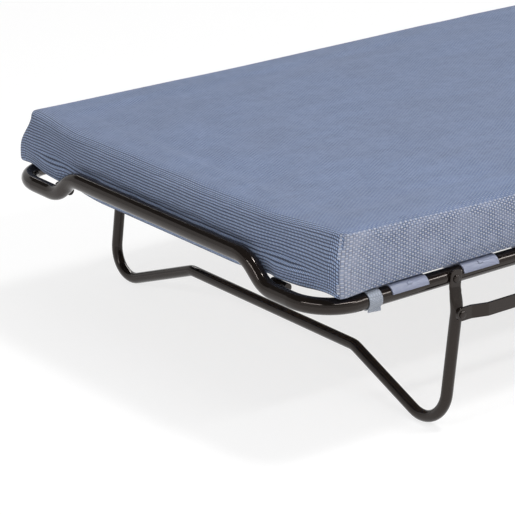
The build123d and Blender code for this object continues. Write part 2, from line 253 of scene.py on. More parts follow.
class Finish(Nodes):
    """One procedural material."""

    def __init__(self, name, roughness=0.5):
        self.material = bpy.data.materials.new(name)
        self.material.use_nodes = True
        super().__init__(self.material.node_tree)
        self.tree.nodes.clear()
        self.output = self.node("ShaderNodeOutputMaterial")
        self.shader = self.node("ShaderNodeBsdfPrincipled", {"Roughness": roughness})
        self.tree.links.new(self.shader.outputs["BSDF"], self.output.inputs["Surface"])

    def set(self, name, value):
        self.put(self.shader.inputs[name], value)

    def place(self, scale=(1.0, 1.0, 1.0)):
        """Object coordinates, stretched by a scale."""
        coordinates = self.node("ShaderNodeTexCoord").outputs["Object"]
        return self.node("ShaderNodeMapping", {"Vector": coordinates, "Scale": scale}).outputs["Vector"]

    def noise(self, vector, scale, detail=3.0, roughness=0.5, output="Fac"):
        inputs = {"Vector": vector, "Scale": scale, "Detail": detail, "Roughness": roughness}
        return self.node("ShaderNodeTexNoise", inputs).outputs[output]

    def mix(self, factor, first, second):
        """A colour between two others."""
        inputs = {0: factor, 6: first, 7: second}
        return self.node("ShaderNodeMix", inputs, data_type="RGBA").outputs[2]

    def bump(self, height, distance, strength):
        inputs = {"Height": height, "Distance": distance, "Strength": strength}
        self.set("Normal", self.node("ShaderNodeBump", inputs).outputs["Normal"])


# Finishes


def shade(colour, share):
    """A colour made darker or lighter by a share."""
    return tuple(min(1.0, part * share) for part in colour)


def paint_finish(name, colour):
    """Gloss stove paint with a faint orange peel."""
    finish = Finish(name, roughness=0.2)
    finish.set("Specular IOR Level", 0.45)
    finish.set("Specular Tint", (1.0, 0.88, 0.82))
    place = finish.place()
    finish.set("Base Color", finish.mix(finish.noise(place, 9.0), shade(colour, 0.8), shade(colour, 1.3)))
    finish.set("Roughness", finish.span(finish.noise(place, 60.0), 0.3, 0.7, 0.08, 0.15))
    finish.bump(finish.noise(place, 900.0, detail=1.0), 0.00004, 0.5)
    return finish.material


def zinc_finish(name, colour):
    """Plated steel with a faint bloom."""
    finish = Finish(name, roughness=0.35)
    place = finish.place()
    finish.set("Base Color", finish.mix(finish.noise(place, 260.0), shade(colour, 0.75), colour))
    finish.set("Metallic", 1.0)
    finish.set("Roughness", finish.span(finish.noise(place, 500.0), 0.3, 0.7, 0.28, 0.45))
    finish.bump(finish.noise(place, 1500.0), 0.00004, 0.5)
    return finish.material


def holder_finish(name, colour):
    """Moulded plastic with a fine grain."""
    finish = Finish(name, roughness=0.45)
    place = finish.place()
    finish.set("Base Color", finish.mix(finish.noise(place, 30.0), shade(colour, 0.92), shade(colour, 1.06)))
    finish.set("Roughness", finish.span(finish.noise(place, 120.0), 0.3, 0.7, 0.4, 0.52))
    finish.bump(finish.noise(place, 1800.0, detail=2.0), 0.00005, 0.5)
    return finish.material


def wood_finish(name, colour):
    """Pressed birch with its grain along the slat."""
    finish = Finish(name, roughness=0.5)
    grain = finish.noise(finish.place((1.2, 26.0, 26.0)), 9.0, detail=6.0, roughness=0.6)
    pores = finish.noise(finish.place((8.0, 260.0, 260.0)), 7.0)
    base = finish.mix(finish.span(grain, 0.3, 0.7), shade(colour, 0.78), shade(colour, 1.1))
    finish.set("Base Color", finish.mix(finish.span(pores, 0.55, 0.75, 0.0, 0.5), base, shade(colour, 0.55)))
    finish.set("Roughness", finish.span(pores, 0.3, 0.7, 0.42, 0.6))
    finish.bump(pores, 0.0002, 0.4)
    return finish.material


def wheel_finish(name, colour):
    """Hard black plastic, scuffed by the floor."""
    finish = Finish(name, roughness=0.4)
    scuffs = finish.noise(finish.place(), 220.0, detail=5.0, roughness=0.7)
    finish.set("Base Color", finish.mix(finish.span(scuffs, 0.5, 0.8), colour, shade(colour, 2.6)))
    finish.set("Roughness", finish.span(scuffs, 0.3, 0.7, 0.34, 0.58))
    finish.bump(scuffs, 0.00008, 0.5)
    return finish.material


def weave(finish, place, column, row):
    """Height of a plain weave, how far up its columns stand, and where its pale yarn lies on top."""
    parts = finish.axes(place)
    across = finish.math("DIVIDE", parts["X"], column)
    along = finish.math("DIVIDE", parts["Y"], row)
    column_at = finish.math("FLOOR", across)
    row_at = finish.math("FLOOR", along)
    odd = finish.math("FLOORED_MODULO", finish.math("ADD", column_at, row_at), 2.0)

    def off_middle(value, at):
        return finish.math("ABSOLUTE", finish.math("SUBTRACT", finish.math("SUBTRACT", value, at), 0.5))

    round_column = finish.span(off_middle(across, column_at), 0.5, 0.16)
    round_row = finish.span(off_middle(along, row_at), 0.5, 0.1)
    height = finish.math("MULTIPLY", round_column, round_row)
    pale = finish.math("MULTIPLY", finish.math("SUBTRACT", 1.0, odd), finish.span(height, 0.02, 0.42))
    return height, round_column, pale


def side_cloth(finish, settings, height, pale, gap_shade, paler_near_corner):
    """Open weave, worn towards the blend of its yarns, and paler towards the end corner."""
    blend = tuple(0.6 * blue + 0.4 * white for blue, white in zip(settings.blue_yarn, settings.pale_yarn))
    worn = finish.span(finish.noise(finish.place(), 55.0, detail=2.0), 0.35, 0.65, 0.05, 0.4)
    # Painted shade between the yarns: the darkened blue yarn where the weave lies low
    cloth = finish.mix(finish.span(height, 0.0, 0.6), gap_shade, settings.blue_yarn)
    cloth = finish.mix(pale, cloth, settings.pale_yarn)
    cloth = finish.mix(worn, cloth, blend)
    return finish.mix(paler_near_corner, cloth, settings.pale_yarn)


def top_cloth(finish, settings, woven, patches, gap_shade):
    """Smooth top, on which the weave shows faintly among soft bands and patches."""
    bands = finish.noise(finish.place((0.6, 0.18, 1.0)), 60.0, detail=2.0)
    dark, light = shade(settings.top_tone, 0.93), shade(settings.top_tone, 1.07)
    cloth = finish.mix(finish.span(bands, 0.35, 0.65), dark, light)
    cloth = finish.mix(0.42, cloth, woven)
    return finish.mix(finish.span(patches, 0.35, 0.65, 0.0, 0.12), cloth, gap_shade)


def end_cloth(finish, settings, height, rib, pale):
    """Raised ribs of the ends, each a row of beads."""
    beads = finish.math("ADD", finish.math("MULTIPLY", rib, 0.35), finish.math("MULTIPLY", height, 0.65))
    # Painted shade between the ribs and their beads: the rib_gap colour where they lie low
    cloth = finish.mix(finish.span(beads, 0.22, 0.95), settings.rib_gap, settings.rib_tone)
    return finish.mix(finish.math("MULTIPLY", pale, 0.3), cloth, settings.pale_yarn)


# Places along the bed where the side's cloth starts to turn paler towards the corner, and where it is palest
PALE_START = -0.83
PALE_FULL = -0.895


def cover_finish(settings):
    """Two-colour woven cloth.

    Its cover_place attribute holds the place on the cloth, then 1 at an end, -1 at a side and 0 on top.
    """
    finish = Finish("mattress_cover_woven", roughness=0.8)
    cloth = finish.node("ShaderNodeAttribute", attribute_name="cover_place", attribute_type="GEOMETRY")
    cloth = cloth.outputs["Vector"]
    parts = finish.axes(cloth)
    side = finish.span(parts["Z"], -0.4, -0.6)
    end = finish.span(parts["Z"], 0.0, 1.0)
    near_corner = finish.span(parts["X"], PALE_START, PALE_FULL)
    # The side's cloth mixes in more pale yarn towards the end corner
    paler_near_corner = finish.math("MULTIPLY", near_corner, finish.math("MULTIPLY", side, 0.24))
    drift = finish.noise(finish.place(), 14.0, detail=2.0, output="Color")
    place = finish.vector_math("ADD", cloth, finish.vector_math("MULTIPLY", drift, (0.004, 0.004, 0.0)))
    height, rib, pale = weave(finish, place, settings.column, settings.row)
    # Painted shade between the yarns: the blue yarn darkened, laid in the weave's low parts
    gap_shade = shade(settings.blue_yarn, 0.36)
    patches = finish.noise(finish.place(), 5.0)
    slub = finish.noise(finish.place(), 160.0, detail=2.0)
    open_weave = side_cloth(finish, settings, height, pale, gap_shade, paler_near_corner)
    plain = top_cloth(finish, settings, open_weave, patches, gap_shade)
    ribbed = end_cloth(finish, settings, height, rib, pale)
    woven = finish.mix(end, finish.mix(side, plain, open_weave), ribbed)
    woven = finish.mix(finish.span(patches, 0.35, 0.65, 0.0, 0.04), woven, settings.pale_yarn)
    finish.set("Base Color", finish.mix(finish.span(slub, 0.35, 0.7, 0.0, 0.15), woven, gap_shade))
    relief = finish.math("ADD", finish.math("MULTIPLY", height, 0.4), finish.math("MULTIPLY", rib, end))
    finish.bump(relief, 0.0009, 0.75)
    finish.set("Sheen Weight", 0.08)
    finish.set("Sheen Roughness", 0.4)
    finish.set("Specular IOR Level", 0.15)
    return finish.material


def strap_finish(name, colour):
    """Flat woven tape with ribs across it."""
    finish = Finish(name, roughness=0.75)
    place = finish.place()
    parts = finish.axes(place)
    around = finish.math("ADD", parts["X"], parts["Z"])
    cloth = finish.node("ShaderNodeCombineXYZ", {"X": parts["Y"], "Y": around}).outputs["Vector"]
    height, _, pale = weave(finish, cloth, column=0.0024, row=0.0016)
    fuzz = finish.noise(place, 420.0, detail=4.0)
    # Painted shade in the weave: the tape's colour darker where the weave lies low, and lighter on alternate
    # raised floats
    base = finish.mix(height, shade(colour, 0.72), shade(colour, 0.95))
    base = finish.mix(pale, base, shade(colour, 1.25))
    finish.set("Base Color", finish.mix(finish.span(fuzz, 0.4, 0.7, 0.0, 0.45), base, shade(colour, 0.62)))
    finish.bump(height, 0.0003, 0.6)
    finish.set("Sheen Weight", 0.3)
    return finish.material


FINISHES = {
    "frame_paint": (paint_finish, "paint"),
    "zinc_steel": (zinc_finish, "zinc"),
    "holder_plastic": (holder_finish, "holder"),
    "strap_fabric": (strap_finish, "strap"),
    "slat_wood": (wood_finish, "wood"),
    "wheel_plastic": (wheel_finish, "wheel"),
}


def finish_for(slot):
    """The finish of a material slot, made the first time that it is asked for."""
    name = slot + "_finish"
    if name not in bpy.data.materials:
        make, setting = FINISHES[slot]
        make(name, getattr(bpy.context.scene.guest_bed.finish, setting))
    return bpy.data.materials[name]


class GUESTBED_OT_finishes(bpy.types.Operator):
    """Gives every part that keeps its CAD shape its own finish"""

    bl_idname = "guest_bed.finishes"
    bl_label = "Finishes"

    def execute(self, context):
        for part in frame["record"]["subparts"]:
            if part["material_slot"] in FINISHES:
                slots = NODES[part["node"]].data.materials
                finish = finish_for(part["material_slot"])
                if not slots:
                    slots.append(finish)
                for i in range(len(slots)):
                    slots[i] = finish
        return {"FINISHED"}


# Mesh helpers


def clear_selection():
    for chosen in bpy.context.selected_objects:
        chosen.select_set(False)


def pick(target):
    """Makes an object the active one and the only one selected."""
    clear_selection()
    bpy.context.view_layer.objects.active = target
    target.select_set(True)


def add_primitive(operator, name, **settings):
    """A primitive at its place, as the only selected object."""
    clear_selection()
    operator(**settings)
    made = bpy.context.object
    made.name = name
    made.data.name = name
    return made


def edit(target):
    pick(target)
    bpy.ops.object.mode_set(mode="EDIT")


def leave_edit():
    bpy.ops.object.mode_set(mode="OBJECT")


def choose(target, kind, test):
    """Selects the vertices, edges or faces that pass a test, in edit mode."""
    bpy.ops.mesh.select_mode(type=kind)
    bpy.ops.mesh.select_all(action="DESELECT")
    mesh = bmesh.from_edit_mesh(target.data)
    for item in {"VERT": mesh.verts, "EDGE": mesh.edges, "FACE": mesh.faces}[kind]:
        if test(item):
            item.select_set(True)
    mesh.select_flush_mode()
    bmesh.update_edit_mesh(target.data)


def settle(target):
    """Moves the object's place into its mesh."""
    pick(target)
    bpy.ops.object.transform_apply(location=True, rotation=True, scale=True)


def apply_modifier(target, kind, **settings):
    pick(target)
    modifier = target.modifiers.new(kind.lower(), kind)
    for key, value in settings.items():
        setattr(modifier, key, value)
    bpy.ops.object.modifier_apply(modifier=modifier.name)


def duplicate(source, name, turn):
    """A copy with a mesh of its own, taken to its place by a matrix."""
    copy = source.copy()
    copy.data = source.data.copy()
    copy.name = name
    copy.data.name = name
    bpy.context.scene.collection.objects.link(copy)
    copy.data.transform(turn)
    if turn.determinant() < 0:
        copy.data.flip_normals()
    return copy


def cad_copy(node, name, slot):
    """A copy of a CAD node's mesh to work on, with its doubled points merged and the slot's finish."""
    copy = bpy.data.objects.new(name, NODES[node].data.copy())
    copy.data.name = name
    bpy.context.scene.collection.objects.link(copy)
    copy.data.materials.clear()
    copy.data.materials.append(finish_for(slot))
    edit(copy)
    bpy.ops.mesh.customdata_custom_splitnormals_clear()
    bpy.ops.mesh.select_all(action="SELECT")
    bpy.ops.mesh.remove_doubles(threshold=MERGE)
    leave_edit()
    return copy


def join_flats():
    """Joins the loose triangles of flat faces, in edit mode."""
    bpy.ops.mesh.select_all(action="SELECT")
    bpy.ops.mesh.dissolve_limited(angle_limit=math.radians(1))


def smooth(target):
    pick(target)
    bpy.ops.object.shade_smooth_by_angle(angle=math.radians(40))


# The mattress

CORNER_RADIUS = 0.016
TOP_EDGE_RADIUS = 0.005
BOTTOM_EDGE_RADIUS = 0.0045

# The end bulges evenly over its flat middle, and less towards its corners
END_BULGE = 0.018
END_FLAT = 0.235
BULGE_REACH = 0.3

# The top rises to a crown
CROWN = 0.007
CROWN_INSET = 0.15
CROWN_SHARE = 0.2

# The end's top edge rolls over, and more tightly beyond ROLL_WIDTH
ROLL_RADIUS = 0.02
ROLL_TIGHTENING = 0.75
ROLL_WIDTH = 0.25
ROLL_FADE = 0.14

# The right corner stands a little higher and the left one a little lower
CORNER_LIFT = 0.0062
CORNER_DROP = -0.0015
LIFT_REACH = 0.32
LIFT_SHARE = 0.3

# The lower part flares, most of all at the corners, which run out to a point. The sides are pulled in above.
FLARE = 0.0125
FLARE_SHARE = 0.7
FLARE_REACH = 0.16
SIDE_FLARE = 0.0062
SIDE_FLARE_REACH = 0.09
SIDE_WIDTH = 0.03
SIDE_PULL = 0.003
POINT_SHARE = 0.85

# The lower edge sags: along the sides, in the middle of the end, and along the end up to its corners
SIDE_SAG = 0.0018
SIDE_SAG_SHARE = 0.3
END_SAG = 0.0105
END_SAG_WIDTH = 0.3
END_SAG_FADE = 0.14
EDGE_SAG = 0.003
EDGE_SAG_WIDTH = 0.375
EDGE_SAG_FADE = 0.06
END_SAG_REACH = 0.1
END_SAG_SHARE = 0.5

# The hump of the tube frame folds the end. A band has its start, fade in, end and fade out, in x.
FOLD_REACH = 0.04
CREASE_DEPTH = 0.005
CREASE_WIDTH = 0.006
CREASE_END = 0.29
CREASE_FADE = 0.06
CREASE_WAVES = ((0.0018, 31.0, 0.0), (0.0012, 83.0, 1.3))
HOLLOW_DEPTH = 0.006
HOLLOW_RISE = 0.018
HOLLOW_BAND = (0.2, 0.07, 0.32, 0.06)
LIP_DEPTH = 0.008
LIP_EDGE = 0.012
LIP_BAND = (0.245, 0.035, 0.29, 0.09)

# The filling presses on the cover, which is held in the middle of the bed and away from its edges
COVER_FRAMES = 20
COVER_PRESSURE = 4.0
COVER_STIFFNESS = 40.0
COVER_BENDING = 6.0
HELD_INSET = 0.03
HELD_FADE = 0.12
HELD_SLOPE = 3.0
HELD_MIDDLE = 0.02
MIDDLE_FADE = 0.06

# The upright seam in each corner of the end
SEAM_DEPTH = 0.0015
SEAM_WIDTH = 0.003
SEAM_INSET_SHARE = 0.3
SEAM_REACH = 0.03
SEAM_SIDE_REACH = 0.02

# Faces with a normal at least this upright are part of the top or the bottom
LEVEL_NORMAL = 0.8

# The ribs of the end run over its top edge by an overlap that changes across the bed
RIB_OVERLAP = 0.022
RIB_SHARE = 1.2
RIB_SKEW = 0.5
RIB_WAVE = 0.25
RIB_WAVE_TURN = 47.0
END_SHRINK = 1.13

END_CORNER_Y = HEAD_LOW.y + END_BULGE
EDGE_TOP = HEAD_HIGH.z - CROWN


def ease(share):
    """A smooth step from 0 to 1."""
    share = min(1.0, max(0.0, share))
    return share * share * (3.0 - 2.0 * share)


def within(value, band):
    """How far a value lies inside a band, from 0 to 1."""
    start, fade_in, end, fade_out = band
    return ease((value - start) / fade_in) * (1.0 - ease((value - end) / fade_out))


def half_block(cell):
    """The head half as a block with rounded edges, cut into even faces and closed flat in the middle."""
    size = Vector((HEAD_HIGH.x - HEAD_LOW.x, -END_CORNER_Y, EDGE_TOP - HEAD_LOW.z))
    centre = Vector((0.0, END_CORNER_Y / 2, (HEAD_LOW.z + EDGE_TOP) / 2))
    cube = bpy.ops.mesh.primitive_cube_add
    block = add_primitive(cube, "mattress_head", size=1.0, location=centre, scale=size)
    settle(block)

    def upright_corner(edge):
        ends = [v.co for v in edge.verts]
        return all(v.y < END_CORNER_Y + NEAR for v in ends) and abs(ends[0].z - ends[1].z) > NEAR

    def rim(level):
        def test(edge):
            ends = [v.co for v in edge.verts]
            flat = all(abs(v.z - level) < NEAR for v in ends)
            return flat and not all(v.y > -NEAR for v in ends) and edge.is_manifold
        return test

    edit(block)
    for test, radius, segments in (
        (upright_corner, CORNER_RADIUS, 4),
        (rim(EDGE_TOP), TOP_EDGE_RADIUS, 3),
        (rim(HEAD_LOW.z), BOTTOM_EDGE_RADIUS, 2),
    ):
        choose(block, "EDGE", test)
        bpy.ops.mesh.bevel(offset=radius, segments=segments, affect="EDGES")
    spans = ((HEAD_LOW.x, HEAD_HIGH.x), (END_CORNER_Y, 0.0), (HEAD_LOW.z, EDGE_TOP))
    for axis, (start, end) in enumerate(spans):
        count = max(2, round((end - start) / cell))
        for i in range(1, count):
            point, normal = [0.0] * 3, [0.0] * 3
            point[axis] = start + (end - start) * i / count
            normal[axis] = 1.0
            bpy.ops.mesh.select_all(action="SELECT")
            bpy.ops.mesh.bisect(plane_co=point, plane_no=normal)
    bpy.ops.mesh.select_all(action="SELECT")
    bpy.ops.mesh.remove_doubles(threshold=CUT_MERGE)
    bpy.ops.mesh.normals_make_consistent(inside=False)
    leave_edit()
    return block


def roll_top_edge(place, end_off):
    """Rolls the top edge of the end over, more tightly towards the corners."""
    radius = ROLL_RADIUS * (1.0 - ROLL_TIGHTENING * ease((abs(place.x) - ROLL_WIDTH) / ROLL_FADE))
    roll_y, roll_z = radius - end_off, radius - (EDGE_TOP - place.z)
    length = math.hypot(roll_y, roll_z)
    if min(roll_y, roll_z) > 0.0 and length > radius:
        place.y += roll_y * (1.0 - radius / length)
        place.z -= roll_z * (1.0 - radius / length)


def raise_top(place, level, side_off, end_off):
    """Crowns the top, and lifts or lowers it towards the corner."""
    crown_from = 1.0 - CROWN_SHARE
    if level > crown_from:
        inward = ease(min(side_off, end_off) / CROWN_INSET)
        place.z += CROWN * inward * ease((level - crown_from) / CROWN_SHARE)
    lift = CORNER_LIFT if place.x > 0.0 else CORNER_DROP
    cornerward = ease(1.0 - math.hypot(side_off, end_off) / LIFT_REACH)
    place.z += lift * cornerward * ease((level - LIFT_SHARE) / (1.0 - LIFT_SHARE))


def draw_out_corner(place, down, side_off, end_off):
    """Draws the rounded corner out to a point, more so further down."""
    if side_off < CORNER_RADIUS and end_off < CORNER_RADIUS:
        x, y = CORNER_RADIUS - side_off, CORNER_RADIUS - end_off
        if max(x, y) > MERGE:
            point = down * POINT_SHARE * (math.hypot(x, y) / max(x, y) - 1.0)
            place.x += math.copysign(point * x, place.x)
            place.y -= point * y


def sag_lower_edge(place, level, side, end_off):
    """Lets the lower edge hang where no rail holds it up."""
    sag = END_SAG * ease((END_SAG_WIDTH - abs(place.x)) / END_SAG_FADE)
    sag += EDGE_SAG * ease((EDGE_SAG_WIDTH - abs(place.x)) / EDGE_SAG_FADE)
    sag *= ease(1.0 - end_off / END_SAG_REACH) * ease((END_SAG_SHARE - level) / END_SAG_SHARE)
    place.z -= SIDE_SAG * side * ease((SIDE_SAG_SHARE - level) / SIDE_SAG_SHARE) + sag


def shape_block(block):
    """Gives the block its bulging end, crowned top, pulled sides and corners that flare below."""
    half = HEAD_HIGH.x
    flat = block.data.attributes.new("cloth_flat", "FLOAT_VECTOR", "POINT")
    flat.data.foreach_set("vector", [part for vertex in block.data.vertices for part in vertex.co])
    for vertex in block.data.vertices:
        place = vertex.co
        level = (place.z - HEAD_LOW.z) / (EDGE_TOP - HEAD_LOW.z)
        side_off = half - abs(place.x)
        end_off = place.y - END_CORNER_Y
        corner_off = math.hypot(side_off, end_off)
        belly = math.sin(math.pi * min(1.0, max(0.0, level)))
        down = ease((1.0 - level) / FLARE_SHARE)
        side = ease((abs(place.x) - half + SIDE_WIDTH) / SIDE_WIDTH)
        flare = FLARE * down * ease(1.0 - corner_off / FLARE_REACH)
        corner_flare = (FLARE - SIDE_FLARE) * ease(1.0 - corner_off / SIDE_FLARE_REACH)
        side_flare = down * (SIDE_FLARE * side + corner_flare)
        roll_top_edge(place, end_off)
        raise_top(place, level, side_off, end_off)
        draw_out_corner(place, down, side_off, end_off)
        bulge = ease((half - abs(place.x)) / (half - END_FLAT))
        place.x += math.copysign(side_flare - SIDE_PULL * belly * side, place.x)
        place.y -= END_BULGE * bulge * (1.0 - ease(end_off / BULGE_REACH)) + flare
        sag_lower_edge(place, level, side, end_off)
    block.data.update()


def stuff(block, swell):
    """Lets the cover settle under its filling's pressure, and caps how far it moves."""
    rest = [v.co.copy() for v in block.data.vertices]
    held = block.vertex_groups.new(name="held")
    for vertex in block.data.vertices:
        place = vertex.co
        inset = min(HEAD_HIGH.x - abs(place.x), place.y - HEAD_LOW.y)
        slope = 1.0 - abs(vertex.normal.z)
        weight = ease((inset - HELD_INSET) / HELD_FADE) * (1.0 - ease(slope * HELD_SLOPE))
        if place.y > -HELD_MIDDLE:
            weight = 1.0
        held.add([vertex.index], weight, "REPLACE")
    pick(block)
    cloth = block.modifiers.new("cover", "CLOTH")
    cloth.settings.use_pressure = True
    cloth.settings.uniform_pressure_force = COVER_PRESSURE
    cloth.settings.effector_weights.gravity = 0.0
    cloth.settings.vertex_group_mass = held.name
    cloth.settings.quality = 6
    cloth.settings.tension_stiffness = COVER_STIFFNESS
    cloth.settings.compression_stiffness = COVER_STIFFNESS
    cloth.settings.bending_stiffness = COVER_BENDING
    cloth.point_cache.frame_end = COVER_FRAMES
    scene = bpy.context.scene
    for step in range(1, COVER_FRAMES + 1):
        scene.frame_set(step)
    bpy.ops.object.modifier_apply(modifier=cloth.name)
    scene.frame_set(1)
    for vertex, start in zip(block.data.vertices, rest):
        move = vertex.co - start
        if move.length > swell:
            move *= swell / move.length
        vertex.co = start + move * ease(-start.y / MIDDLE_FADE)
    block.vertex_groups.clear()
    block.data.update()


def sew_corners(block):
    """Presses the upright seam into each corner of the end."""
    inset = CORNER_RADIUS * SEAM_INSET_SHARE
    for vertex in block.data.vertices:
        place = vertex.co
        level = (place.z - HEAD_LOW.z) / (EDGE_TOP - HEAD_LOW.z)
        flare = FLARE * ease((1.0 - level) / FLARE_SHARE)
        seam = Vector((HEAD_HIGH.x + flare - inset, END_CORNER_Y - flare + inset))
        for side in (-1.0, 1.0):
            off = Vector((place.x - side * seam.x, place.y - seam.y))
            across = (off.x * side + off.y) * math.sqrt(0.5)
            if off.length < SEAM_REACH and abs(across) < SEAM_SIDE_REACH:
                dent = math.exp(-((across / SEAM_WIDTH) ** 2)) * (1.0 - abs(vertex.normal.z))
                place.x -= side * SEAM_DEPTH * dent
                place.y += SEAM_DEPTH * dent
    block.data.update()


def press_crease(block):
    """Folds the end where the hump stops holding it: a hollow, a crease and a lip below it."""
    flat = block.data.attributes["cloth_flat"].data
    for vertex, start in zip(block.data.vertices, flat):
        near = ease(1.0 - (start.vector.y - END_CORNER_Y) / FOLD_REACH)
        if near > 0.0:
            place = vertex.co
            out = abs(place.x)
            wander = sum(size * math.sin(place.x * turn + first) for size, turn, first in CREASE_WAVES)
            off = place.z - TUBE_TOP - wander
            groove = CREASE_DEPTH * math.exp(-((off / CREASE_WIDTH) ** 2))
            groove *= 1.0 - ease((out - CREASE_END) / CREASE_FADE)
            hollow = HOLLOW_DEPTH * math.exp(-(((off - HOLLOW_RISE) / HOLLOW_RISE) ** 2))
            hollow *= within(out, HOLLOW_BAND)
            lip = LIP_DEPTH * ease(-off / LIP_EDGE) * within(out, LIP_BAND)
            place.y += near * (groove + hollow - lip)
    block.data.update()


def lay_cloth(piece):
    """Writes each face's place on the flat cloth. The end's ribs run over its top edge and fade out there."""
    mesh = piece.data
    flat = mesh.attributes["cloth_flat"].data
    layer = mesh.attributes.new("cover_place", "FLOAT_VECTOR", "CORNER")
    values = [0.0] * (3 * len(mesh.loops))
    for face in mesh.polygons:
        normal = face.normal
        level = abs(normal.z) > LEVEL_NORMAL
        side = not level and abs(normal.x) > abs(normal.y)
        for loop in face.loop_indices:
            place = flat[mesh.loops[loop].vertex_index].vector
            if side:
                spot = (place.y, place.z, -1.0)
            else:
                wave = RIB_WAVE * math.sin(place.x * RIB_WAVE_TURN)
                reach = RIB_OVERLAP * (RIB_SHARE - RIB_SKEW * place.x / HEAD_HIGH.x + wave)
                over = (place.y - END_CORNER_Y) / reach
                end = 1.0 - ease(over) if normal.z > 0.0 else float(not level)
                spot = (END_SHRINK * (place.z + place.y - END_CORNER_Y), place.x, end)
            values[3 * loop:3 * loop + 3] = spot
    layer.data.foreach_set("vector", values)
    mesh.attributes.remove(mesh.attributes["cloth_flat"])


class GUESTBED_OT_mattress(bpy.types.Operator):
    """Builds the two halves of the mattress, which meet in the middle"""

    bl_idname = "guest_bed.mattress"
    bl_label = "Mattress"

    def execute(self, context):
        settings = context.scene.guest_bed.cover
        head = half_block(settings.cell)
        shape_block(head)
        stuff(head, settings.swell)
        edit(head)
        choose(head, "EDGE", lambda edge: all(v.co.y > -NEAR for v in edge.verts))
        bpy.ops.mesh.mark_sharp()
        bpy.ops.transform.edge_crease(value=1.0)
        leave_edit()
        apply_modifier(head, "SUBSURF", levels=1, render_levels=1)
        sew_corners(head)
        press_crease(head)
        foot = duplicate(head, "mattress_foot", HALF_TURN)
        material = cover_finish(settings)
        for piece, half, sign in ((head, "head_half", -1.0), (foot, "foot_half", 1.0)):
            smooth(piece)
            lay_cloth(piece)
            piece.data.materials.append(material)
            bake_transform(piece)
        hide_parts("head_mattress", "mattress_middle")
        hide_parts("foot_mattress", "mattress_middle")
        return {"FINISHED"}


# Straps

RAIL_X = 0.3875
RAIL_RADIUS = 0.0125
STRAP_Y = (STRAP_LOW.y + STRAP_HIGH.y) / 2
STRAP_WIDTH = STRAP_HIGH.y - STRAP_LOW.y
STRAP_THICKNESS = 0.0013
STRAP_GAP = 0.0002
TAIL_WIDTH = 0.021
TAIL_HEIGHT = 0.0068
TAIL_DROP = 0.0092
TAIL_OUT = 0.009
TAIL_RIPPLE = 0.0016
TAIL_RIPPLE_TURN = 160.0
TAIL_ROUNDING = 0.0004


def runs_along(axis, length):
    """A test for edges that reach farther than a length along an axis."""
    return lambda edge: abs(edge.verts[0].co[axis] - edge.verts[1].co[axis]) > length


def strap_tail(place, name):
    """The two stitched ends of a strap, which hang side by side and ripple a little."""
    top = place.z - TAIL_DROP
    tail = add_primitive(
        bpy.ops.mesh.primitive_cube_add, name, size=1.0,
        location=(place.x + TAIL_OUT, place.y, top - TAIL_HEIGHT / 2),
        scale=(2 * STRAP_THICKNESS, TAIL_WIDTH, TAIL_HEIGHT),
    )
    settle(tail)
    edit(tail)
    choose(tail, "EDGE", runs_along(1, STRAP_WIDTH / 4))
    bpy.ops.mesh.subdivide(number_cuts=6)
    choose(tail, "EDGE", runs_along(2, TAIL_HEIGHT / 4))
    bpy.ops.mesh.subdivide(number_cuts=3)
    leave_edit()
    for vertex in tail.data.vertices:
        drop = (top - vertex.co.z) / TAIL_HEIGHT
        vertex.co.x += TAIL_RIPPLE * drop * math.sin((vertex.co.y - place.y) * TAIL_RIPPLE_TURN)
    apply_modifier(tail, "BEVEL", width=TAIL_ROUNDING, segments=2)
    return tail


def strap_loop(place, name):
    """One fabric loop round the rail, with its stitched tail below."""
    loop = add_primitive(
        bpy.ops.mesh.primitive_cylinder_add, name, vertices=48, depth=STRAP_WIDTH,
        radius=RAIL_RADIUS + STRAP_GAP + STRAP_THICKNESS / 2,
        end_fill_type="NOTHING", location=place, rotation=(math.radians(90), 0.0, 0.0),
    )
    settle(loop)
    edit(loop)
    choose(loop, "EDGE", runs_along(1, STRAP_WIDTH / 2))
    bpy.ops.mesh.subdivide(number_cuts=7)
    leave_edit()
    apply_modifier(loop, "SOLIDIFY", thickness=STRAP_THICKNESS, offset=0.0)
    tail = strap_tail(place, name + "_tail")
    pick(loop)
    tail.select_set(True)
    bpy.ops.object.join()
    smooth(loop)
    return loop


class GUESTBED_OT_straps(bpy.types.Operator):
    """Builds the four fabric straps that hold the mattress to the tube frame"""

    bl_idname = "guest_bed.straps"
    bl_label = "Straps"

    def execute(self, context):
        first = strap_loop(Vector((RAIL_X, STRAP_Y, LEG_PIVOT.z)), "strap_head_right")
        first.data.materials.append(finish_for("strap_fabric"))
        pieces = {
            "head": [first, duplicate(first, "strap_head_left", MIRROR_X)],
            "foot": [
                duplicate(first, "strap_foot_left", HALF_TURN),
                duplicate(first, "strap_foot_right", MIRROR_X @ HALF_TURN),
            ],
        }
        for end, pair in pieces.items():
            for piece in pair:
                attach(piece, end + "_half")
            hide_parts(end + "_straps")
        return {"FINISHED"}


# Slat holders

HOLDER_ROUNDING = 0.0006
HOLDERS = (
    ("head_slat_holders", "head_half"),
    ("foot_slat_holders", "foot_half"),
    ("centre_slat_holders", "centre"),
)


class GUESTBED_OT_holders(bpy.types.Operator):
    """Builds the moulded slat holders with softly rounded edges"""

    bl_idname = "guest_bed.holders"
    bl_label = "Slat holders"

    def execute(self, context):
        sharp = math.radians(35)
        for node, body in HOLDERS:
            piece = cad_copy(node, "rounded_" + node, "holder_plastic")
            edit(piece)
            join_flats()
            leave_edit()
            apply_modifier(
                piece, "BEVEL", width=HOLDER_ROUNDING, segments=3, limit_method="ANGLE", angle_limit=sharp,
            )
            smooth(piece)
            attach(piece, body)
            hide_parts(node)
        return {"FINISHED"}


# Legs

LEG_LEAN = math.radians(6.5)
LEG_X = 0.411
LEG_CUT = 0.056

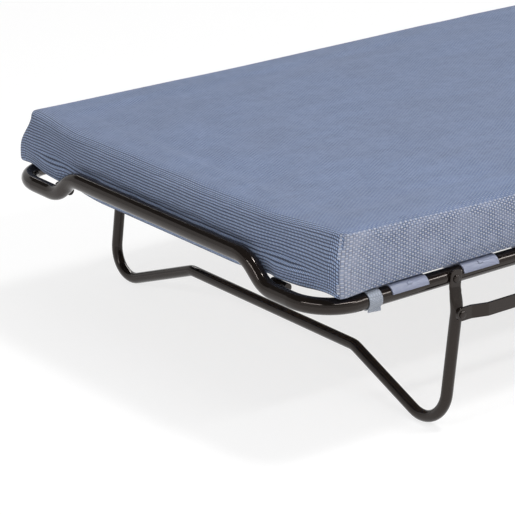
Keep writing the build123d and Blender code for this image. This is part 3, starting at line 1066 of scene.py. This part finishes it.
# A ring has its drop below the rivet, half width, half thickness, middle in x and squareness
LEG_RINGS = (
    (0.050, 0.0091, 0.0090, 0.4112, 2.0),
    (0.044, 0.0096, 0.0086, 0.4108, 2.1),
    (0.038, 0.0103, 0.0074, 0.4097, 2.3),
    (0.032, 0.0108, 0.0058, 0.4081, 2.6),
    (0.026, 0.0110, 0.0040, 0.4063, 3.0),
    (0.021, 0.0110, 0.0024, 0.4047, 3.6),
    (0.0178, 0.0110, 0.0019, 0.4042, 4.5),
    (0.0145, 0.0110, 0.0017, 0.4028, 4.5),
    (0.010, 0.0110, 0.0016, 0.4019, 5.0),
    (-0.006, 0.0110, 0.0016, 0.4019, 5.0),
    (-0.0105, 0.0098, 0.0016, 0.4019, 5.0),
    (-0.0130, 0.0074, 0.0016, 0.4019, 5.0),
    (-0.0140, 0.0045, 0.0014, 0.4019, 4.0),
)


def draw_on_tube(leg, up):
    """Cuts off the leg's plain tops and draws its tube on, one ring after the other."""
    edit(leg)
    bpy.ops.mesh.select_all(action="SELECT")
    bpy.ops.mesh.bisect(plane_co=LEG_PIVOT - LEG_CUT * up, plane_no=up, clear_outer=True)
    choose(leg, "EDGE", lambda edge: edge.is_boundary)
    drop = LEG_CUT
    for ring in LEG_RINGS:
        bpy.ops.mesh.extrude_region_move(TRANSFORM_OT_translate={"value": (drop - ring[0]) * up})
        drop = ring[0]
    for side in (-1.0, 1.0):
        choose(leg, "EDGE", lambda edge: edge.is_boundary and side * edge.verts[0].co.x > 0.0)
        bpy.ops.mesh.edge_face_add()
    bpy.ops.mesh.select_all(action="SELECT")
    bpy.ops.mesh.normals_make_consistent(inside=False)
    leave_edit()


def flatten_tops(leg):
    """Gives the leg flat, rounded tops, whose rings turn step by step from round to nearly square."""
    up = Vector((0.0, math.sin(LEG_LEAN), math.cos(LEG_LEAN)))
    across = Vector((0.0, math.cos(LEG_LEAN), -math.sin(LEG_LEAN)))
    draw_on_tube(leg, up)
    for vertex in leg.data.vertices:
        off = vertex.co - LEG_PIVOT
        drop = -off.dot(up)
        if drop < LEG_CUT - NEAR:
            side = math.copysign(1.0, vertex.co.x)
            _, width, thick, middle, square = min(LEG_RINGS, key=lambda ring: abs(ring[0] - drop))
            angle = math.atan2(off.dot(across), side * vertex.co.x - LEG_X)
            out = math.copysign(abs(math.cos(angle)) ** (2.0 / square), math.cos(angle))
            along = math.copysign(abs(math.sin(angle)) ** (2.0 / square), math.sin(angle))
            place = LEG_PIVOT + across * width * along - up * drop
            place.x = side * (middle + thick * out)
            vertex.co = place
    leg.data.update()


class GUESTBED_OT_legs(bpy.types.Operator):
    """Builds the two end legs, whose tube is pressed flat where it is riveted to the rails"""

    bl_idname = "guest_bed.legs"
    bl_label = "Legs"

    def execute(self, context):
        head = cad_copy("head_leg", "leg_head", "frame_paint")
        flatten_tops(head)
        smooth(head)
        foot = duplicate(head, "leg_foot", HALF_TURN)
        for piece, end in ((head, "head"), (foot, "foot")):
            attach(piece, end + "_leg")
            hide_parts(end + "_leg")
        return {"FINISHED"}


# Rivets

RIVET_DOME = 0.0022
RIVETS = (
    ("head_leg_studs", "head_half", "frame_paint"),
    ("foot_leg_studs", "foot_half", "frame_paint"),
    ("head_link_studs", "head_leg", "frame_paint"),
    ("foot_link_studs", "foot_leg", "frame_paint"),
    ("link_pins", "centre", "zinc_steel"),
)


class GUESTBED_OT_rivets(bpy.types.Operator):
    """Builds the domed rivets on which the legs and the links turn"""

    bl_idname = "guest_bed.rivets"
    bl_label = "Rivets"

    def execute(self, context):
        for node, body, slot in RIVETS:
            piece = cad_copy(node, "domed_" + node, slot)
            outer = max(abs(vertex.co.x) for vertex in piece.data.vertices)
            edit(piece)
            join_flats()
            choose(piece, "EDGE", lambda edge: all(abs(v.co.x) > outer - MERGE for v in edge.verts))
            bpy.ops.mesh.bevel(offset=RIVET_DOME, segments=5, affect="EDGES")
            leave_edit()
            smooth(piece)
            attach(piece, body)
            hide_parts(node)
        return {"FINISHED"}


# The studio

FLOOR_SIZE = 30.0
FLOOR_GLOW = 0.72
GLOW_LEVEL = 1.05

# Glossy surfaces mirror pale walls up to WALL_TOP, the sine of an angle above the horizon, then a thin
# bright rim beyond the far end of the bed, and a dark ceiling
WALL_TOP = 0.5
WALL_BLUR = 0.01
RIM_RISE = 0.05
RIM_HALF_WIDTH = 0.04
RIM_START = 0.2
RIM_FULL = 0.4

# A lamp has its name, place, target and size
LAMPS = (
    ("key", (1.4, 1.0, 6.0), (0.0, -0.4, 0.2), (1.2, 1.2)),
    ("side", (3.4, -0.6, 3.4), (0.3, -0.3, 0.25), (3.0, 0.25)),
    ("end", (0.9, -4.2, 2.9), (0.0, -0.9, 0.25), (3.0, 0.25)),
)


def add_camera(stage):
    """The camera of the photograph."""
    level = math.cos(stage.camera_elevation)
    forward = Vector((
        -math.sin(stage.camera_azimuth) * level,
        math.cos(stage.camera_azimuth) * level,
        -math.sin(stage.camera_elevation),
    ))
    camera = bpy.data.objects.new("photo_camera", bpy.data.cameras.new("photo_camera"))
    camera.data.lens = stage.lens
    camera.data.sensor_width = 36.0
    camera.data.clip_end = 100.0
    camera.location = stage.camera_place
    camera.rotation_euler = forward.to_track_quat("-Z", "Y").to_euler()
    bpy.context.scene.collection.objects.link(camera)
    bpy.context.scene.camera = camera


def add_lamp(name, place, target, size, power):
    lamp = bpy.data.objects.new(name, bpy.data.lights.new(name, "AREA"))
    lamp.data.energy = power
    lamp.data.shape = "RECTANGLE"
    lamp.data.size, lamp.data.size_y = size
    lamp.location = place
    lamp.rotation_euler = (Vector(target) - Vector(place)).to_track_quat("-Z", "Y").to_euler()
    bpy.context.scene.collection.objects.link(lamp)


def add_world(stage):
    """White for the camera, even light for matt surfaces, and mirrored walls and ceiling for glossy ones."""
    world = bpy.data.worlds.new("studio")
    bpy.context.scene.world = world
    world.use_nodes = True
    sky = Nodes(world.node_tree)
    rays = sky.node("ShaderNodeLightPath").outputs
    parts = sky.axes(sky.node("ShaderNodeTexCoord").outputs["Generated"])
    low, high = WALL_TOP - WALL_BLUR, WALL_TOP + WALL_BLUR
    walls = sky.span(parts["Z"], low, high, stage.wall_level, stage.ceiling_level, "LINEAR")
    rim = sky.math("COMPARE", parts["Z"], WALL_TOP + RIM_RISE, RIM_HALF_WIDTH)
    beyond = sky.span(parts["Y"], RIM_START, RIM_FULL, 0.0, stage.rim_level, "LINEAR")
    mirrored = sky.math("MULTIPLY_ADD", rim, beyond, walls)
    even = sky.span(rays["Is Glossy Ray"], 0.0, 1.0, stage.sky_level, mirrored, "LINEAR")
    seen = sky.math("MAXIMUM", rays["Is Camera Ray"], rays["Is Transmission Ray"])
    background = sky.tree.nodes["Background"]
    sky.put(background.inputs["Strength"], sky.span(seen, 0.0, 1.0, even, 1.0, "LINEAR"))
    sky.put(background.inputs["Color"], (1.0, 1.0, 1.0))


def floor_finish(colour):
    """Pale floor that turns white to the eye of the camera and keeps the shadow."""
    finish = Finish("studio_floor", roughness=0.9)
    grain = finish.noise(finish.place(), 2.0)
    finish.set("Base Color", finish.mix(grain, shade(colour, 0.99), shade(colour, 1.01)))
    finish.set("Specular IOR Level", 0.1)
    rays = finish.node("ShaderNodeLightPath").outputs
    mirrored = finish.math("MAXIMUM", rays["Is Glossy Ray"], rays["Is Transmission Ray"])
    seen = finish.math("MAXIMUM", rays["Is Camera Ray"], mirrored)
    glow = finish.node("ShaderNodeEmission", {"Color": (1.0, 1.0, 1.0), "Strength": GLOW_LEVEL})
    inputs = {
        0: finish.math("MULTIPLY", seen, FLOOR_GLOW),
        1: finish.shader.outputs["BSDF"],
        2: glow.outputs["Emission"],
    }
    mixed = finish.node("ShaderNodeMixShader", inputs)
    finish.tree.links.new(mixed.outputs["Shader"], finish.output.inputs["Surface"])
    return finish.material


class GUESTBED_OT_stage(bpy.types.Operator):
    """Sets up the camera, the lamps, the pale floor and the white background"""

    bl_idname = "guest_bed.stage"
    bl_label = "Stage"

    def execute(self, context):
        stage = context.scene.guest_bed.stage
        context.scene.view_settings.view_transform = "Standard"
        add_camera(stage)
        add_world(stage)
        plane = bpy.ops.mesh.primitive_plane_add
        floor = add_primitive(plane, "studio_floor", size=FLOOR_SIZE, location=(0.0, 0.0, 0.0))
        floor.data.materials.append(floor_finish(stage.floor_colour))
        for name, place, target, size in LAMPS:
            add_lamp(name, place, target, size, getattr(stage, name + "_power"))
        return {"FINISHED"}


# Panel and registration


class GUESTBED_PT_build(bpy.types.Panel):
    """Lists the steps that dress the bed"""

    bl_label = "Guest Bed"
    bl_idname = "GUESTBED_PT_build"
    bl_space_type = "VIEW_3D"
    bl_region_type = "UI"
    bl_category = "Guest Bed"

    def draw(self, context):
        settings = context.scene.guest_bed
        for step in STEPS:
            self.layout.operator(step.bl_idname)
        for group in (settings.stage, settings.cover, settings.finish):
            box = self.layout.box()
            for name in group.__annotations__:
                box.prop(group, name)


STEPS = (
    GUESTBED_OT_stage,
    GUESTBED_OT_finishes,
    GUESTBED_OT_mattress,
    GUESTBED_OT_straps,
    GUESTBED_OT_holders,
    GUESTBED_OT_legs,
    GUESTBED_OT_rivets,
)
CLASSES = (StageSettings, CoverSettings, FinishSettings, GuestBedSettings, *STEPS, GUESTBED_PT_build)


def register():
    for item in CLASSES:
        bpy.utils.register_class(item)
    bpy.types.Scene.guest_bed = PointerProperty(type=GuestBedSettings)


def unregister():
    del bpy.types.Scene.guest_bed
    for item in reversed(CLASSES):
        bpy.utils.unregister_class(item)


def main():
    register()
    bpy.ops.guest_bed.stage()
    bpy.ops.guest_bed.finishes()
    bpy.ops.guest_bed.mattress()
    bpy.ops.guest_bed.straps()
    bpy.ops.guest_bed.holders()
    bpy.ops.guest_bed.legs()
    bpy.ops.guest_bed.rivets()


if __name__ == "__main__":
    main()
